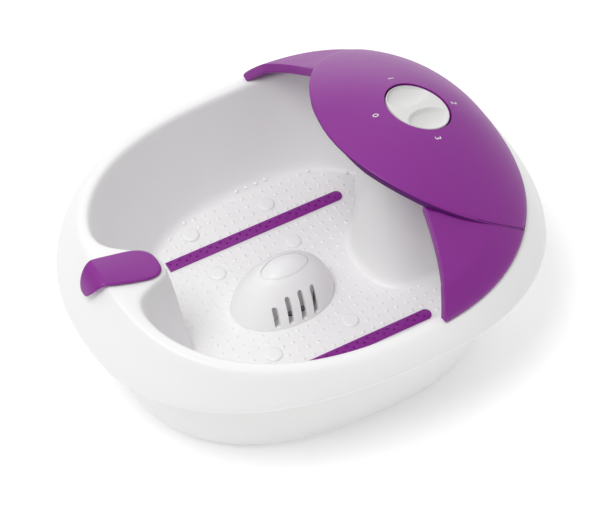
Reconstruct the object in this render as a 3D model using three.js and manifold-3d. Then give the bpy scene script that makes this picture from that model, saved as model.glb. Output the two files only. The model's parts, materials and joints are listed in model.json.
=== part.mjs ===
// Foot spa basin: a tub with a flared rim on a lower casing, a lift-off splash cover with a dial
// through it, a slotted arch massager and bubble strips on the floor, and the works underneath.
// Millimetres, +Z up, +Y from the heel end to the toe end, origin on the ground under the middle.
import * as THREE from "three";
import { mergeVertices } from "three/addons/utils/BufferGeometryUtils.js";
import Module from "manifold-3d";

const wasm = await Module();
wasm.setup();

// ---- driving dimensions ----
const CENTRE_Y = 19; // where the plan outlines are widest
const CURVE = 2.4; // exponent of every plan outline, a superellipse
const FLOOR_Z = 32.7; // top of the inner floor
const FLOOR_UNDER_Z = 29.7;
const BASE_UNDER_Z = 2.8;
const BASE_INNER_Z = 5.3;
const GAP = 0.3; // between two pieces that touch
const SEGMENTS = 48; // round each large outline

const RIM_LOW_Z = 132.3; // the rim's lowest point, half way along
const RIM_LOW_Y = 14;
const RIM_SAG = 0.00045;
const SPOUT_TIP_Y = -128;
const SPOUT_FOLD_Y = -179.5;
const SPOUT_WIDTH = 51;
const BAND_HALF = 168; // the outer band's widest line
const BAND_HEEL = 220;
const BAND_TOE = 182;
const BAND_CURVE = 2.28;
const BAND_Z = 115.6; // half way along, falling towards both ends
const BAND_ARCH = 0.00044;
const BAND_TURN_IN = 20; // how far the band's lower edge turns in and down
const BAND_TURN_DOWN = 15;
const TONGUE_WIDTH = 22.5;

const COVER_HALF = 155.2;
const COVER_TOE = 158.5;
const COVER_EDGE = 3.8; // the cover's edge stands this far over the rim
const COVER_TOP_Z = 213.2;
const COVER_MIDDLE_Y = 126;
const PANEL_RADIUS = 112;
const PANEL_CENTRE_Y = 136.5;
const PANEL_WALL = 2.4;
const PANEL_LIP = 7;
const WING_LIP = 8;
const WING_WALL = 2.4;
const PANEL_GAP = 1.4; // between the panel and the frame under it

const DIAL_Y = 108;
const DIAL_Z = 200.7;
const DIAL_TILT = THREE.MathUtils.degToRad(20);
const DIAL_RADIUS = 27;
const COLUMN_TOP_Z = 184;
const COLUMN_FRONT_Z = 198;

const STRIP_X = 74.4;
const STRIP_WIDTH = 10.3;
const STRIP_HEEL_Y = -86;
const STRIP_TOE_Y = 82.3;
const STRIP_HOLES = 17;
const HUMP_Y = -14;
const BLOWER_Y = 105;
const VIBRATION = new THREE.Vector3(0, -88, 17);

const SCREW_PLACES = [
  [95, 55],
  [100, -60],
  [55, -108],
];
const FOOT_PLACES = [
  [80, 85],
  [82, -100],
];
const MAGNET_PLACES = [
  [48.9, 20.3],
  [48.9, -52.3],
  [96, 20.3],
  [97, -52.3],
];

// ---- materials ----
function plastic(color, roughness) {
  return new THREE.MeshStandardMaterial({ color, roughness, metalness: 0 });
}

function metal(color, roughness) {
  return new THREE.MeshStandardMaterial({ color, roughness, metalness: 1 });
}

const WHITE = plastic(0xf1f1f1, 0.35);
const PURPLE = plastic(0x8a3391, 0.4);
const RUBBER = plastic(0x3a3a3c, 0.9);
const GREY = plastic(0x8c8f93, 0.5);
const BOARD = plastic(0x2f6b3c, 0.5);
const LAMP_RED = plastic(0xa3201a, 0.15);
const STEEL = metal(0xb9bcc0, 0.35);
const BRASS = metal(0xc9a24b, 0.4);

// ---- solids ----
function solidFrom(geometry) {
  const bare = geometry.clone();
  bare.deleteAttribute("normal");
  bare.deleteAttribute("uv");
  const merged = mergeVertices(bare, 1e-4);
  const corners = merged.index.array;
  const kept = [];
  for (let i = 0; i < corners.length; i += 3) {
    const [a, b, c] = corners.slice(i, i + 3);
    if (a !== b && b !== c && c !== a) kept.push(a, b, c);
  }
  const vertProperties = new Float32Array(merged.attributes.position.array);
  const make = (list) =>
    new wasm.Manifold(new wasm.Mesh({ numProp: 3, vertProperties, triVerts: new Uint32Array(list) }));
  const solid = make(kept);
  return solid.volume() < 0 ? make(kept.reverse()) : solid;
}

function meshOf(name, solid, material) {
  const made = solid.getMesh();
  const geometry = new THREE.BufferGeometry();
  geometry.setAttribute("position", new THREE.BufferAttribute(made.vertProperties, 3));
  geometry.setIndex(new THREE.BufferAttribute(made.triVerts, 1));
  geometry.computeVertexNormals();
  const mesh = new THREE.Mesh(geometry, material);
  mesh.name = name;
  return mesh;
}

// A LatheGeometry whose column i, row j vertex is moved to place(i, j).
function mappedLathe(rows, segments, place) {
  const profile = Array.from({ length: rows }, (_, j) => new THREE.Vector2(j + 1, j));
  const geometry = new THREE.LatheGeometry(profile, segments);
  const position = geometry.attributes.position;
  for (let i = 0; i <= segments; i++) {
    for (let j = 0; j < rows; j++) {
      position.setXYZ(i * rows + j, ...place(i % segments, j));
    }
  }
  return solidFrom(geometry);
}

// A solid through plan rings {half, heel, toe, z, centre, curve, tongue}; the first and last have half 0.
function ringSolid(rings, segments = SEGMENTS) {
  return mappedLathe(rings.length, segments, (i, j) => {
    const ring = rings[j];
    const centre = ring.centre ?? CENTRE_Y;
    const power = 2 / (ring.curve ?? CURVE);
    const angle = (i / segments) * 2 * Math.PI;
    const c = Math.cos(angle);
    const s = Math.sin(angle);
    const x = ring.half * Math.sign(c) * Math.abs(c) ** power;
    const reach = s < 0 ? ring.heel : ring.toe;
    let y = ring.half ? centre + reach * Math.sign(s) * Math.abs(s) ** power : centre;
    if (s < 0 && ring.tongue) y += ring.tongue / (1 + (x / TONGUE_WIDTH) ** 4);
    const z = typeof ring.z === "function" ? ring.z(x, y) : ring.z;
    return [x, y, z];
  });
}

function turned(radiusAndHeight, segments = 20) {
  const profile = radiusAndHeight.map(([r, h]) => new THREE.Vector2(r, h));
  return solidFrom(new THREE.LatheGeometry(profile, segments).rotateX(Math.PI / 2));
}

function rod(radius, low, high, segments = 16) {
  return turned([[0, low], [radius, low], [radius, high], [0, high]], segments);
}

function tube(inner, outer, low, high, segments = 20) {
  return turned([[inner, low], [outer, low], [outer, high], [inner, high], [inner, low]], segments);
}

function block(width, depth, height, x, y, z) {
  return solidFrom(new THREE.BoxGeometry(width, depth, height).translate(x, y, z));
}

function bothSides(make) {
  return [make(1, "left"), make(-1, "right")].flat();
}

// ---- surfaces ----
function rimZ(x, y) {
  const lift = Math.max(0, 3.7 + 0.18 * (SPOUT_TIP_Y - y));
  return RIM_LOW_Z + RIM_SAG * (y - RIM_LOW_Y) ** 2 + lift * Math.exp(-((x / SPOUT_WIDTH) ** 2));
}

function bandZ(x, y) {
  return BAND_Z - BAND_ARCH * y ** 2;
}

function between(low, high, share) {
  return (x, y) => low(x, y) + (high(x, y) - low(x, y)) * share;
}

// 0 at the middle of the cover's plan, 1 on its outer edge
function coverShare(x, y) {
  const across = (Math.abs(x) / COVER_HALF) ** CURVE;
  return (across + (Math.abs(y - CENTRE_Y) / COVER_TOE) ** CURVE) ** (1 / CURVE);
}

function coverEdgeZ(x, y) {
  return rimZ(x, y) + COVER_EDGE;
}

// top of the domed panel
function panelZ(x, y) {
  const share = Math.min(1, coverShare(x, y));
  const middle = Math.exp(-((x / 56) ** 2));
  const fall = (1 - share ** (2.6 + 0.4 * middle)) ** (0.9 - 0.15 * middle);
  const edge = coverEdgeZ(x, y);
  return edge + (COVER_TOP_Z - edge) * fall;
}

// top of the wings, always a little under the panel's own surface
function wingZ(x, y) {
  const share = Math.min(1, coverShare(x, y));
  const edge = coverEdgeZ(x, y);
  return Math.min(edge + (COVER_TOP_Z - edge) * 0.98 * (1 - share) ** 0.58, panelZ(x, y) - 1);
}

function columnTopZ(x, y) {
  return Math.min(COLUMN_FRONT_Z, COLUMN_TOP_Z + Math.tan(DIAL_TILT) * (DIAL_Y - y));
}

// ---- tub: floor, walls, rim, outer band and column in one moulding ----
function bandRing(inset, drop) {
  return {
    half: BAND_HALF - inset,
    heel: BAND_HEEL - inset,
    toe: BAND_TOE - inset,
    z: (x, y) => bandZ(x, y) - drop,
    curve: BAND_CURVE,
  };
}

function tubShell() {
  const outward = [0.3, 0.6, 0.85].map((t) => {
    const out = Math.sin((t * Math.PI) / 2) ** 1.15;
    const up = Math.cos((t * Math.PI) / 2) ** 1.15;
    return {
      half: 154 + (BAND_HALF - 154) * out,
      heel: 198 + (BAND_HEEL - 198) * out,
      toe: 158 + (BAND_TOE - 158) * out,
      z: between(bandZ, rimZ, up),
      curve: CURVE + (BAND_CURVE - CURVE) * out,
    };
  });
  const under = [0.4, 0.7, 0.9].map((t) => {
    const inset = BAND_TURN_IN * (1 - Math.cos((t * Math.PI) / 2));
    return bandRing(inset, BAND_TURN_DOWN * Math.sin((t * Math.PI) / 2));
  });
  return ringSolid([
    { half: 0, heel: 0, toe: 0, z: FLOOR_Z },
    { half: 118, heel: 141, toe: 107, z: FLOOR_Z, tongue: 18 },
    { half: 122.8, heel: 146, toe: 112.5, z: FLOOR_Z + 3, tongue: 20 },
    { half: 125.8, heel: 149.5, toe: 116.5, z: FLOOR_Z + 10, tongue: 22 },
    { half: 136, heel: 170, toe: 133, z: 90, tongue: 36 },
    { half: 143, heel: 186.5, toe: 146.5, z: (x, y) => rimZ(x, y) - 8, tongue: 44 },
    { half: 144.7, heel: 189.5, toe: 148.3, z: (x, y) => rimZ(x, y) - 1, tongue: 45 },
    { half: 146.5, heel: 191.3, toe: 150, z: rimZ, tongue: 43 },
    { half: 150.5, heel: 195, toe: 154, z: rimZ, tongue: 20 },
    { half: 154, heel: 198, toe: 158, z: (x, y) => rimZ(x, y) - 0.6 },
    ...outward,
    bandRing(0, 0),
    ...under,
    bandRing(BAND_TURN_IN, BAND_TURN_DOWN),
    bandRing(BAND_TURN_IN + 2.4, BAND_TURN_DOWN - 0.8),
    bandRing(9, 8),
    bandRing(3, 0),
    { half: 158, heel: 207, toe: 169, z: between(bandZ, (x, y) => rimZ(x, y) - 5, 0.6) },
    { half: 151.5, heel: 196, toe: 155, z: (x, y) => rimZ(x, y) - 5 },
    { half: 146.9, heel: 190.2, toe: 150.4, z: (x, y) => rimZ(x, y) - 6, tongue: 44 },
    { half: 138.6, heel: 172.6, toe: 135.6, z: 90, tongue: 36 },
    { half: 128.6, heel: 152.3, toe: 119.3, z: FLOOR_Z + 9, tongue: 22 },
    { half: 124.6, heel: 148, toe: 114.4, z: FLOOR_UNDER_Z + 2, tongue: 20 },
    { half: 118, heel: 141, toe: 107, z: FLOOR_UNDER_Z, tongue: 18 },
    { half: 0, heel: 0, toe: 0, z: FLOOR_UNDER_Z },
  ]);
}

function columnSolid(rows) {
  const rings = rows.map(([half, heel, toe, z]) => ({ half, heel, toe, z, centre: 100 }));
  return ringSolid(rings, 32);
}

function column() {
  return columnSolid([
    [0, 0, 0, FLOOR_Z - 2],
    [45.5, 55.5, 33, FLOOR_Z - 2],
    [45.5, 55.5, 33, FLOOR_Z + 0.5],
    [42.5, 52.5, 38, FLOOR_Z + 3.5],
    [41, 51, 42, FLOOR_Z + 11],
    [38.5, 49.5, 60, 110],
    [37.5, 48.5, 67, 140],
    [37, 48, 57, 158],
    [36, 47, 53, (x, y) => columnTopZ(x, y) - 3],
    [33, 44, 50, columnTopZ],
    [0, 0, 0, COLUMN_TOP_Z + Math.tan(DIAL_TILT) * (DIAL_Y - 100)],
  ]);
}

function columnHollow() {
  return columnSolid([
    [0, 0, 0, 20],
    [38, 48, 66, 20],
    [35.5, 46.5, 66, 118],
    [34.5, 45.5, 54, 150],
    [32.5, 43.5, 49, (x, y) => columnTopZ(x, y) - 4.5],
    [0, 0, 0, COLUMN_TOP_Z - 4.5 + Math.tan(DIAL_TILT) * (DIAL_Y - 100)],
  ]);
}

function alongDial(solid) {
  const turn = new THREE.Matrix4().makeRotationX(-DIAL_TILT);
  turn.setPosition(0, DIAL_Y, DIAL_Z);
  return solid.transform(turn.elements);
}

function screwPost(x, y) {
  const post = rod(4.5, BASE_INNER_Z + 3, FLOOR_UNDER_Z + 1, 10);
  const bore = rod(2.4, BASE_INNER_Z, FLOOR_UNDER_Z - 5, 10);
  return post.subtract(bore).translate([x, y, 0]);
}

function tub() {
  let solid = tubShell().add(column()).subtract(columnHollow());
  solid = solid.subtract(rod(18, 20, 40, 24).translate([0, HUMP_Y, 0]));
  solid = solid.subtract(alongDial(rod(4.2, -40, -10, 12)));
  for (const [x, y] of SCREW_PLACES) {
    solid = solid.add(screwPost(x, y)).add(screwPost(-x, y));
  }
  return meshOf("tub", solid, WHITE);
}

// ---- lower casing ----
function baseShell() {
  const baseTop = { z: (x, y) => bandZ(x, y) - 12, curve: BAND_CURVE };
  let solid = ringSolid([
    { half: 0, heel: 0, toe: 0, z: BASE_UNDER_Z },
    { half: 117, heel: 173, toe: 117.5, z: BASE_UNDER_Z },
    { half: 123.5, heel: 179, toe: 124, z: 4.6 },
    { half: 128, heel: 183.8, toe: 128.5, z: 11 },
    { ...baseTop, half: 144.8, heel: 196.8, toe: 158.8 },
    { ...baseTop, half: 142.6, heel: 194.6, toe: 156.6 },
    { half: 125.7, heel: 181.5, toe: 126.2, z: 11.6 },
    { half: 121.5, heel: 177, toe: 122, z: BASE_INNER_Z + 1.5 },
    { half: 115, heel: 171, toe: 115.5, z: BASE_INNER_Z },
    { half: 0, heel: 0, toe: 0, z: BASE_INNER_Z },
  ], 40);
  for (const [x, y] of SCREW_PLACES) {
    for (const side of [x, -x]) {
      solid = solid.subtract(rod(2.4, 0, 10, 10).translate([side, y, 0]));
    }
  }
  const inlet = rod(6.3, 0, 40, 12).rotate([-90, 0, 0]).translate([0, 130, 30]);
  return meshOf("base_shell", solid.subtract(inlet), WHITE);
}

function rubberFeet() {
  return FOOT_PLACES.flatMap(([x, y], row) =>
    bothSides((side, word) => {
      const pad = turned([[0, 0], [8.4, 0], [9, BASE_UNDER_Z - GAP], [0, BASE_UNDER_Z - GAP]], 16);
      const end = row ? "heel" : "toe";
      return meshOf(`rubber_foot_${end}_${word}`, pad.translate([-side * x, y, 0]), RUBBER);
    }),
  );
}

function baseScrews() {
  return SCREW_PLACES.flatMap(([x, y], row) =>
    bothSides((side, word) => {
      const head = BASE_UNDER_Z - GAP;
      const outline = [[0, 0.6], [4, 0.6], [4, head], [2, head], [2, 21], [0, 21]];
      const screw = turned(outline, 8).translate([-side * x, y, 0]);
      return meshOf(`base_screw_${row + 1}_${word}`, screw, STEEL);
    }),
  );
}

function cordGland() {
  const outline = [[2.5, 0], [6, 0], [6, 14.5], [9, 14.5], [9, 17.5], [6.5, 20], [4.5, 30], [2.5, 30], [2.5, 0]];
  const solid = turned(outline, 16).rotate([-90, 0, 0]).translate([0, 144.8, 30]);
  return meshOf("cord_gland", solid, RUBBER);
}

// ---- splash cover ----
function insidePanel(x, y, grow) {
  return Math.hypot(x, y - PANEL_CENTRE_Y) < PANEL_RADIUS + grow && coverShare(x, y) < 1;
}

function wingFrontY(x) {
  const share = Math.abs(x) / 154.3;
  const underPanel = PANEL_CENTRE_Y - Math.sqrt(Math.max(0, 103 ** 2 - x * x));
  return Math.min(70 - 27 * share ** 3.5, Math.abs(x) < 103 ? underPanel : Infinity);
}

function insideFrame(x, y) {
  const share = coverShare(x, y);
  return y > wingFrontY(x) && (insidePanel(x, y, 0.7) ? share < 0.92 : share < 1);
}

// distance from the cover's middle to where a region ends, along one direction
function reach(angle, inside) {
  let low = 0;
  let high = 400;
  for (let step = 0; step < 30; step++) {
    const middle = (low + high) / 2;
    const x = middle * Math.cos(angle);
    const y = COVER_MIDDLE_Y + middle * Math.sin(angle);
    if (inside(x, y)) low = middle;
    else high = middle;
  }
  return low;
}

// equal steps that also pass through each corner direction
function directions(corners, count) {
  const angles = [];
  corners.forEach((start, k) => {
    const end = corners[k + 1] ?? corners[0] + 2 * Math.PI;
    const steps = Math.max(1, Math.round(((end - start) / (2 * Math.PI)) * count));
    for (let i = 0; i < steps; i++) {
      angles.push(start + ((end - start) * i) / steps);
    }
  });
  return angles;
}

function directionTo(x, y) {
  return Math.atan2(y - COVER_MIDDLE_Y, x);
}

// A plate whose rows are {radius(angle), z(x, y)}, from the top's middle outwards and back underneath.
function plate(angles, rows) {
  return mappedLathe(rows.length, angles.length, (i, j) => {
    const radius = rows[j].radius(angles[i]);
    const x = radius * Math.cos(angles[i]);
    const y = COVER_MIDDLE_Y + radius * Math.sin(angles[i]);
    return [x, y, rows[j].z(x, y)];
  });
}

function dialHole(radius) {
  return alongDial(rod(radius, -30, 30, 32));
}

// how deep the panel's edge hangs: on the rim at its outer edge, over the wings at the seams
function panelLip(x, y) {
  if (coverShare(x, y) > 0.985) return COVER_EDGE - 0.5;
  return THREE.MathUtils.clamp(panelZ(x, y) - wingZ(x, y) + 1, PANEL_WALL, PANEL_LIP);
}

// the panel before its hole is cut, or a cutter that is larger all round by grow
function panelPlate(grow) {
  const seamEnd = directionTo(109.5, 142);
  const angles = directions([-Math.PI / 2, seamEnd, Math.PI - seamEnd], 48);
  const edge = (angle) => reach(angle, (x, y) => insidePanel(x, y, 0));
  const top = [0, 0.3, 0.55, 0.75, 0.9, 1].map((share) => ({
    radius: (angle) => (edge(angle) + grow) * share,
    z: (x, y) => panelZ(x, y) + grow,
  }));
  const lip = (inset) => ({
    radius: (angle) => edge(angle) - inset,
    z: (x, y) => panelZ(x, y) - panelLip(x, y) - grow,
  });
  const under = [1, 0.85, 0.5, 0].map((share) => ({
    radius: (angle) => (edge(angle) - 2.5 - grow) * share,
    z: (x, y) => panelZ(x, y) - PANEL_WALL - grow,
  }));
  return plate(angles, [...top, lip(0.6 - grow), lip(2.2 + grow), ...under]);
}

function coverPanel() {
  const solid = panelPlate(0).subtract(dialHole(DIAL_RADIUS + 1.5));
  return meshOf("cover_panel", solid, PURPLE);
}

function frameTopZ(x, y) {
  if (insidePanel(x, y, -5.1)) return panelZ(x, y) - PANEL_WALL - PANEL_GAP;
  if (insidePanel(x, y, 0.7)) return Math.min(panelZ(x, y) - panelLip(x, y) - PANEL_GAP, wingZ(x, y));
  return wingZ(x, y);
}

function frameUnderZ(x, y) {
  const thin = frameTopZ(x, y) - PANEL_WALL;
  return coverShare(x, y) > 0.91 ? Math.max(thin, rimZ(x, y) + 0.4) : thin;
}

// A bar through sections of four corners each, closed at both ends.
function barThrough(sections) {
  const middle = ([a, , c]) => a.map((value, axis) => (value + c[axis]) / 2);
  const last = sections.length - 1;
  return mappedLathe(sections.length + 2, 4, (i, j) => {
    if (j === 0) return middle(sections[0]);
    return j > last + 1 ? middle(sections[last]) : sections[j - 1][i];
  });
}

// the turned-down front edge of one wing
function wingLip(side) {
  const sections = Array.from({ length: 13 }, (_, k) => {
    const x = 88 + 5.3 * k;
    const y = wingFrontY(x) + 0.9;
    const high = wingZ(x, y) - 1.2;
    const low = Math.max(wingZ(x, y) - WING_LIP, rimZ(x, y) + 0.4);
    return [[y, high], [y + WING_WALL, high], [y + WING_WALL, low], [y, low]].map(([v, z]) => [side * x, v, z]);
  });
  return barThrough(sections);
}

function coverFrame() {
  const tip = directionTo(154.3, wingFrontY(154.3) + 0.5);
  const junction = directionTo(79, 70);
  const seamEnd = directionTo(109.5, 142);
  const right = [tip, junction, seamEnd].sort((a, b) => a - b);
  const left = right.map((angle) => Math.PI - angle).reverse();
  const angles = directions([-Math.PI / 2, ...right, ...left], 54);
  const edge = (angle) => reach(angle, insideFrame);
  const circle = (angle, grow) => reach(angle, (x, y) => insidePanel(x, y, grow));
  const places = [
    () => 0,
    (angle) => circle(angle, -5.2) * 0.5,
    (angle) => circle(angle, -5.2),
    (angle) => circle(angle, -5),
    (angle) => circle(angle, 0.6),
    (angle) => circle(angle, 0.8),
    (angle) => (circle(angle, 0.8) + edge(angle)) / 2,
    (angle) => edge(angle) * 0.995,
    edge,
  ];
  const radii = places.map((place, k) => (angle) => Math.min(place(angle), edge(angle) * (0.92 + 0.01 * k)));
  const top = radii.map((radius) => ({ radius, z: frameTopZ }));
  const under = radii.map((radius) => ({ radius, z: frameUnderZ })).reverse();
  const solid = plate(angles, [...top, ...under]).add(wingLip(1)).add(wingLip(-1));
  const cutters = panelPlate(2 * GAP).add(dialHole(DIAL_RADIUS + 3));
  return meshOf("cover_frame", solid.subtract(cutters), PURPLE);
}

// ---- dial and switch ----
function controlKnob() {
  const disc = turned([[0, -9], [24, -9], [24, -7], [26.4, -7], [DIAL_RADIUS, -5], [DIAL_RADIUS, -0.8],
    [DIAL_RADIUS - 0.8, 0], [0, 0]], 32);
  const scoop = solidFrom(new THREE.SphereGeometry(1, 16, 8).scale(20, 13, 5));
  let solid = disc;
  for (const side of [1, -1]) {
    solid = solid.subtract(scoop.translate([0, side * 16, 0.5]).rotate([0, 0, 100]));
  }
  return meshOf("control_knob", alongDial(solid), WHITE);
}

function switchShaft() {
  return meshOf("switch_shaft", alongDial(rod(3.5, -23.5, -9 - GAP, 12)), STEEL);
}

function rotarySwitch() {
  return meshOf("rotary_switch", alongDial(rod(14, -38, -23.5 - GAP, 16)), GREY);
}

// ---- fittings on the floor ----
function bubbleStrips() {
  const half = STRIP_WIDTH / 2;
  const outline = new THREE.Shape();
  outline.moveTo(-half, STRIP_HEEL_Y);
  outline.lineTo(half, STRIP_HEEL_Y);
  outline.lineTo(half, STRIP_TOE_Y - half);
  outline.absarc(0, STRIP_TOE_Y - half, half, 0, Math.PI);
  const pitch = (STRIP_TOE_Y - half - STRIP_HEEL_Y) / STRIP_HOLES;
  for (let k = 0; k < STRIP_HOLES; k++) {
    const round = new THREE.EllipseCurve(0, STRIP_HEEL_Y + pitch * (k + 0.6), 0.9, 0.9);
    outline.holes.push(new THREE.Path(round.getPoints(6).slice(0, 6)));
  }
  const bar = solidFrom(new THREE.ExtrudeGeometry(outline, { depth: 1.5, bevelEnabled: false, curveSegments: 6 }));
  return bothSides((side, word) =>
    meshOf(`bubble_strip_${word}`, bar.translate([-side * STRIP_X, 0, FLOOR_Z + GAP]), PURPLE),
  );
}

function magnetCaps() {
  const cap = turned([[0, 0], [7.2, 0], [7.2, 1.3], [6.2, 2.2], [0, 2.2]], 12);
  return MAGNET_PLACES.flatMap(([x, y], row) =>
    bothSides((side, word) =>
      meshOf(`magnet_cap_${row + 1}_${word}`, cap.translate([-side * x, y, FLOOR_Z + GAP]), WHITE),
    ),
  );
}

function humpRings(rows, inset) {
  return rows.map(([half, heel, toe, rise]) => ({
    half: Math.max(0, half - inset),
    heel: Math.max(0, heel - inset),
    toe: Math.max(0, toe - inset),
    z: FLOOR_Z + GAP + rise - inset,
    centre: HUMP_Y,
    curve: 2.1,
  }));
}

function massageHump() {
  const rows = [
    [31.8, 49.6, 42, 0],
    [31.2, 47.8, 41.2, 6],
    [29.2, 43.6, 39, 15],
    [25.8, 38, 35, 23.5],
    [21, 31.5, 29.5, 31],
    [15.6, 24.5, 22.5, 37],
    [10, 17.5, 15.5, 41],
    [4.5, 9, 7, 43.3],
    [0, 0, 0, 43.8],
  ];
  const outside = ringSolid([{ ...humpRings(rows, 0)[0], half: 0 }, ...humpRings(rows, 0)], 36);
  const inside = ringSolid(
    [{ ...humpRings(rows, 2.4)[0], half: 0, z: FLOOR_Z - 4 }, ...humpRings(rows, 2.4)],
    24,
  );
  let solid = outside.subtract(inside);
  solid = solid.subtract(windowOval(0.4, 20, 60));
  for (let k = 0; k < 4; k++) {
    const y = HUMP_Y - 23 + 11.8 * k;
    for (const side of [1, -1]) {
      solid = solid.subtract(block(18, 4.2, 23, side * 27, y, FLOOR_Z + 14));
    }
  }
  return meshOf("massage_hump", solid, WHITE);
}

function windowOval(grow, low, high) {
  const ring = { half: 11.5 + grow, heel: 21.3 + grow, toe: 21.3 + grow, centre: HUMP_Y - 1, curve: 2 };
  return ringSolid([
    { ...ring, half: 0, z: FLOOR_Z + low },
    { ...ring, z: FLOOR_Z + low },
    { ...ring, z: FLOOR_Z + high },
    { ...ring, half: 0, z: FLOOR_Z + high },
  ], 24);
}

function lampWindow() {
  const ring = { half: 11.5, heel: 21.3, toe: 21.3, centre: HUMP_Y - 1, curve: 2 };
  const solid = ringSolid([
    { ...ring, half: 0, z: FLOOR_Z + 36 },
    { ...ring, z: FLOOR_Z + 36 },
    { ...ring, z: FLOOR_Z + 40 },
    { ...ring, half: 9, heel: 17, toe: 17, z: FLOOR_Z + 43.2 },
    { ...ring, half: 0, z: FLOOR_Z + 45 },
  ], 24);
  return meshOf("lamp_window", solid, WHITE);
}

// top of the white moulding at the spout: the lip, then the band falling away outside the fold
function spoutZ(x, y) {
  if (y > SPOUT_FOLD_Y) return rimZ(x, y);
  const out = Math.min(1, (SPOUT_FOLD_Y - y) / 22);
  const share = Math.sqrt(1 - out ** 2);
  return bandZ(x, y) + (rimZ(x, SPOUT_FOLD_Y) - bandZ(x, y)) * share;
}

function spoutPad() {
  const middle = -161.5;
  const length = 33;
  const angles = Array.from({ length: 28 }, (_, i) => (i / 28) * 2 * Math.PI);
  const solidRows = [
    [0, 3.2], [0.5, 3.2], [0.85, 3.2], [0.97, 3], [1, 2.4],
    [1, 1.9], [0.85, 1.9], [0.5, 1.9], [0, 1.9],
  ];
  const solid = mappedLathe(solidRows.length, angles.length, (i, j) => {
    const [share, rise] = solidRows[j];
    const c = Math.cos(angles[i]);
    const s = Math.sin(angles[i]);
    const along = Math.sign(s) * Math.abs(s) ** 0.55 * share;
    const across = Math.sign(c) * Math.abs(c) ** 0.75 * share;
    const x = across * (16.4 + 1.6 * along);
    const y = middle + length * along;
    return [x, y, spoutZ(x, y) + rise];
  });
  return meshOf("spout_pad", solid, PURPLE);
}

// ---- lamp and heater ----
function lampHousing() {
  const outline = [[14.6, 20], [16.6, 20], [16.6, FLOOR_Z + 1.6], [22, FLOOR_Z + 1.6], [22, FLOOR_Z + 3.2],
    [16.6, FLOOR_Z + 3.2], [16.6, 50], [11, 57], [0, 59], [0, 57], [10, 55], [14.6, 49], [14.6, 20]];
  return meshOf("lamp_housing", turned(outline, 20).translate([0, HUMP_Y, 0]), GREY);
}

function lampGasket() {
  const ring = tube(17.4, 22, FLOOR_Z + GAP, FLOOR_Z + 1.3);
  return meshOf("lamp_gasket", ring.translate([0, HUMP_Y, 0]), RUBBER);
}

function infraredLamp() {
  const outline = [[0, 27], [4.5, 27], [4.5, 32], [9.5, 39], [9.5, 44], [6, 49], [0, 51]];
  return meshOf("infrared_lamp", turned(outline, 16).translate([0, HUMP_Y, 0]), LAMP_RED);
}

function lampSocket() {
  const outline = [[0, 13], [11, 13], [11, 24], [7, 24], [7, 26.7], [0, 26.7]];
  return meshOf("lamp_socket", turned(outline, 16).translate([0, HUMP_Y, 0]), GREY);
}

function heaterPlate() {
  const ring = tube(24, 46, FLOOR_UNDER_Z - 3.4, FLOOR_UNDER_Z - GAP, 24);
  return meshOf("heater_plate", ring.translate([0, HUMP_Y, 0]), STEEL);
}

function thermostat() {
  const can = rod(8, FLOOR_UNDER_Z - 10, FLOOR_UNDER_Z - 3.7, 14);
  return meshOf("thermostat", can.translate([35, HUMP_Y, 0]), BRASS);
}

// ---- blower and air lines ----
function blowerParts() {
  const low = 66;
  const housing = turned([[7.5, low], [26, low], [26, low + 17], [23.5, low + 17], [23.5, low + 2.5],
    [7.5, low + 2.5], [7.5, low]], 24);
  let impeller = rod(20, low + 4, low + 6, 24).add(rod(2.2, low + 5, low + 21, 10));
  for (let k = 0; k < 8; k++) {
    const blade = block(14, 1.4, 8, 12.5, 0, low + 9.5).rotate([0, 0, 45 * k]);
    impeller = impeller.add(blade);
  }
  const motor = turned([[0, low + 21.3], [15, low + 21.3], [15, low + 58], [13, low + 60], [0, low + 60]], 20);
  const riser = tube(5.5, 7.2, BASE_INNER_Z + GAP, low + 1.5, 16);
  const place = [0, BLOWER_Y, 0];
  return [
    meshOf("blower_housing", housing.translate(place), GREY),
    meshOf("blower_impeller", impeller.translate(place), GREY),
    meshOf("blower_motor", motor.translate(place), STEEL),
    meshOf("air_riser", riser.translate(place), GREY),
  ];
}

function airHose(side) {
  const route = [
    [7.8, BLOWER_Y, 17],
    [25, BLOWER_Y, 17],
    [52, BLOWER_Y - 6, 18],
    [STRIP_X, BLOWER_Y - 28, 21],
    [STRIP_X, 62.6, 22],
  ];
  const path = new THREE.CatmullRomCurve3(route.map(([x, y, z]) => new THREE.Vector3(side * x, y, z)));
  const section = new THREE.Shape(new THREE.EllipseCurve(0, 0, 5, 5).getPoints(8).slice(0, 8));
  return solidFrom(new THREE.ExtrudeGeometry(section, { steps: 12, extrudePath: path }));
}

function airLines() {
  return bothSides((side, word) => {
    const manifold = block(14, 146, 12, -side * STRIP_X, -11, FLOOR_UNDER_Z - 6 - GAP);
    return [
      meshOf(`air_manifold_${word}`, manifold, GREY),
      meshOf(`air_hose_${word}`, airHose(-side), RUBBER),
    ];
  });
}

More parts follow.
